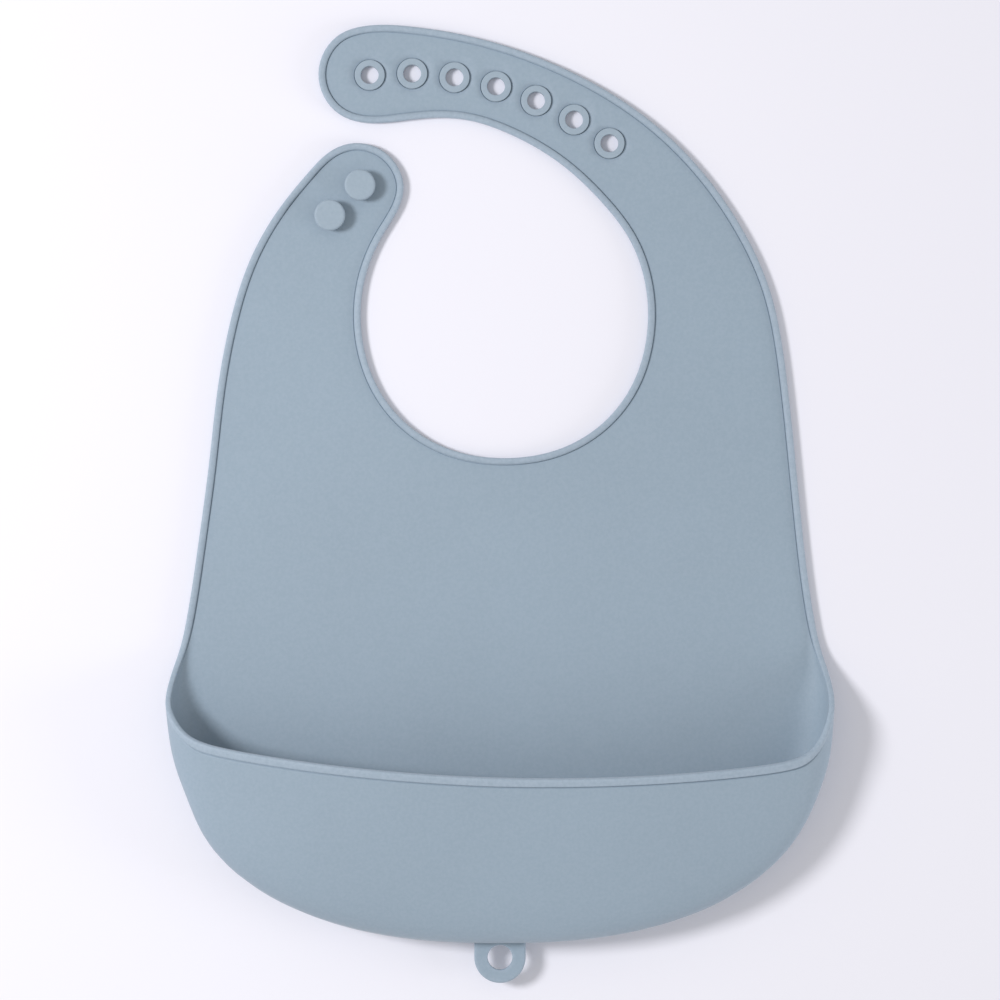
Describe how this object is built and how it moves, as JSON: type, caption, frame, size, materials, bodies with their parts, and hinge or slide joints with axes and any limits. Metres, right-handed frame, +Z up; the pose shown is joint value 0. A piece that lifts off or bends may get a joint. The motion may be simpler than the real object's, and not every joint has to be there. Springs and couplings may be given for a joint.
{
  "type": "silicone feeding bib",
  "caption": "Soft moulded bib with a scoop pocket, a raised edge bead, an eyelet strap and a stud strap that close behind the neck, and a hang tab.",
  "frame": {"origin": "under the middle of the bib's outline, on the table it lies on", "axes": "+Z up off the table, towards the pocket's side; +Y towards the neck straps; +X to the side of the long eyelet strap's root"},
  "size_m": [0.2161, 0.3102, 0.0356],
  "materials": {
    "sheet_silicone": "matte grey-blue silicone, fine-grained",
    "edge_silicone": "matte grey-blue silicone, smoother, on beads, collars and studs"
  },
  "bodies": {
    "chest_lower": {"chest_lower_panel": "sheet_silicone", "chest_lower_bead_left": "edge_silicone", "chest_lower_bead_right": "edge_silicone", "pocket_back": "sheet_silicone", "pocket_side_left": "sheet_silicone", "pocket_side_right": "sheet_silicone", "pocket_trough_left": "sheet_silicone", "pocket_trough_middle": "sheet_silicone", "pocket_trough_right": "sheet_silicone"},
    "pocket_front_wall": {"pocket_front": "sheet_silicone", "pocket_lip": "edge_silicone"},
    "hang_tab_tongue": {"hang_tab": "sheet_silicone"},
    "chest_upper": {"chest_upper_panel": "sheet_silicone", "chest_upper_bead_left": "edge_silicone", "chest_upper_bead_right": "edge_silicone", "neck_bead": "edge_silicone"},
    "stud_strap": {"stud_strap_panel": "sheet_silicone", "stud_strap_bead": "edge_silicone", "stud_upper": "edge_silicone", "stud_lower": "edge_silicone"},
    "eyelet_strap_root": {"eyelet_strap_root_panel": "sheet_silicone", "eyelet_strap_root_outer_bead": "edge_silicone", "eyelet_strap_root_inner_bead": "edge_silicone", "eyelet_5": "edge_silicone", "eyelet_6": "edge_silicone", "eyelet_7": "edge_silicone"},
    "eyelet_strap_middle": {"eyelet_strap_middle_panel": "sheet_silicone", "eyelet_strap_middle_outer_bead": "edge_silicone", "eyelet_strap_middle_inner_bead": "edge_silicone", "eyelet_3": "edge_silicone", "eyelet_4": "edge_silicone"},
    "eyelet_strap_tip": {"eyelet_strap_tip_panel": "sheet_silicone", "eyelet_strap_tip_bead": "edge_silicone", "eyelet_1": "edge_silicone", "eyelet_2": "edge_silicone"}
  },
  "joints": [
    {"name": "chest_fold", "type": "hinge", "parent": "chest_lower", "child": "chest_upper", "pos_m": [0, -0.01, 0.0015], "axis": [1, 0, 0], "range_deg": [0, 90], "stiffness_Nm_per_rad": 0.05},
    {"name": "pocket_open", "type": "hinge", "parent": "chest_lower", "child": "pocket_front_wall", "pos_m": [0, -0.1415, 0.012], "axis": [1, 0, 0], "range_deg": [0, 25], "stiffness_Nm_per_rad": 0.1},
    {"name": "hang_tab_flex", "type": "hinge", "parent": "chest_lower", "child": "hang_tab_tongue", "pos_m": [0, -0.14141, 0.007], "axis": [-1, 0, 0], "range_deg": [-25, 45], "stiffness_Nm_per_rad": 0.003},
    {"name": "stud_strap_flex", "type": "hinge", "parent": "chest_upper", "child": "stud_strap", "pos_m": [-0.066, 0.0715, 0.0015], "axis": [0.8829, -0.4695, 0], "range_deg": [0, 75], "stiffness_Nm_per_rad": 0.01},
    {"name": "eyelet_strap_curl_root", "type": "hinge", "parent": "chest_upper", "child": "eyelet_strap_root", "pos_m": [0.04086, 0.11238, 0.0015], "axis": [0.6554, 0.7553, 0], "range_deg": [0, 45], "stiffness_Nm_per_rad": 0.01},
    {"name": "eyelet_strap_curl_middle", "type": "hinge", "parent": "eyelet_strap_root", "child": "eyelet_strap_middle", "pos_m": [0.00529, 0.13309, 0.0015], "axis": [0.3333, 0.9428, 0], "range_deg": [0, 45], "stiffness_Nm_per_rad": 0.005},
    {"name": "eyelet_strap_curl_tip", "type": "hinge", "parent": "eyelet_strap_middle", "child": "eyelet_strap_tip", "pos_m": [-0.0216, 0.13896, 0.0015], "axis": [0.0896, 0.996, 0], "range_deg": [0, 45], "stiffness_Nm_per_rad": 0.003}
  ],
  "couplings": [
    {"joint": "eyelet_strap_curl_middle", "follows": "eyelet_strap_curl_root", "ratio": 1},
    {"joint": "eyelet_strap_curl_tip", "follows": "eyelet_strap_curl_root", "ratio": 1}
  ]
}
